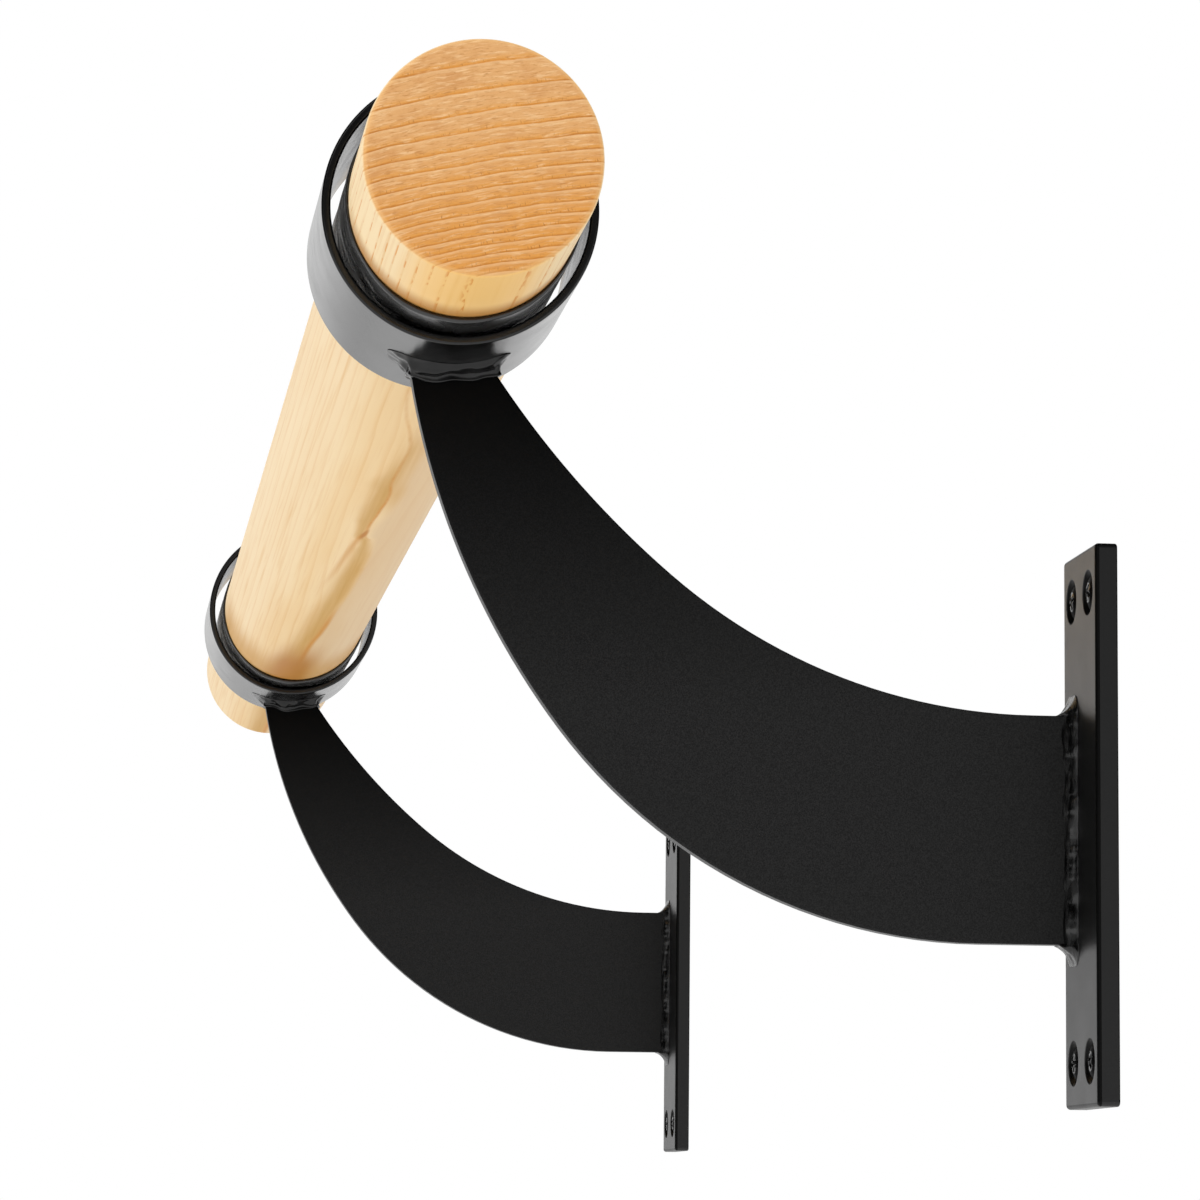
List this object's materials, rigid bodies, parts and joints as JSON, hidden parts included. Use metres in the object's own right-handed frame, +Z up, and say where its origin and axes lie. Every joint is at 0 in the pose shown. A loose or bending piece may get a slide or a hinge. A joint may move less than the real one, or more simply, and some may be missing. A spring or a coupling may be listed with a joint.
{
  "type": "ballet barre",
  "caption": "Wall-mounted ballet barre: a round wooden rail that turns and slides in rubber-lined steel rings on curved flat arms with screwed wall plates.",
  "frame": {"origin": "on the wall's surface, midway between the two brackets and at the middle height of their wall plates", "axes": "+X along the barre to the right as seen by someone facing the wall, +Y into the wall, +Z up"},
  "size_m": [0.914, 0.1755, 0.2215],
  "materials": {
    "wood": "clear satin lacquer on pale maple",
    "black_steel": "satin black powder coat",
    "weld_bead": "satin black powder coat over a rippled bead",
    "rubber": "smooth soft-gloss black rubber",
    "screw": "black phosphate"
  },
  "bodies": {
    "wall_brackets": {"left_ring": "black_steel", "left_arm": "black_steel", "left_wall_plate": "black_steel", "left_ring_weld": "weld_bead", "left_plate_weld": "weld_bead", "left_top_screws": "screw", "left_bottom_screws": "screw", "right_ring": "black_steel", "right_arm": "black_steel", "right_wall_plate": "black_steel", "right_ring_weld": "weld_bead", "right_plate_weld": "weld_bead", "right_top_screws": "screw", "right_bottom_screws": "screw"},
    "sleeves": {"left_rubber_sleeve": "rubber", "right_rubber_sleeve": "rubber"},
    "barre": {"wood_barre": "wood"}
  },
  "joints": [
    {"name": "barre_turn", "type": "hinge", "parent": "wall_brackets", "child": "sleeves", "pos_m": [0, -0.1454, 0.1289], "axis": [1, 0, 0], "continuous": true},
    {"name": "barre_slide", "type": "slide", "parent": "sleeves", "child": "barre", "axis": [1, 0, 0], "range_m": [-0.04, 0.105]}
  ]
}
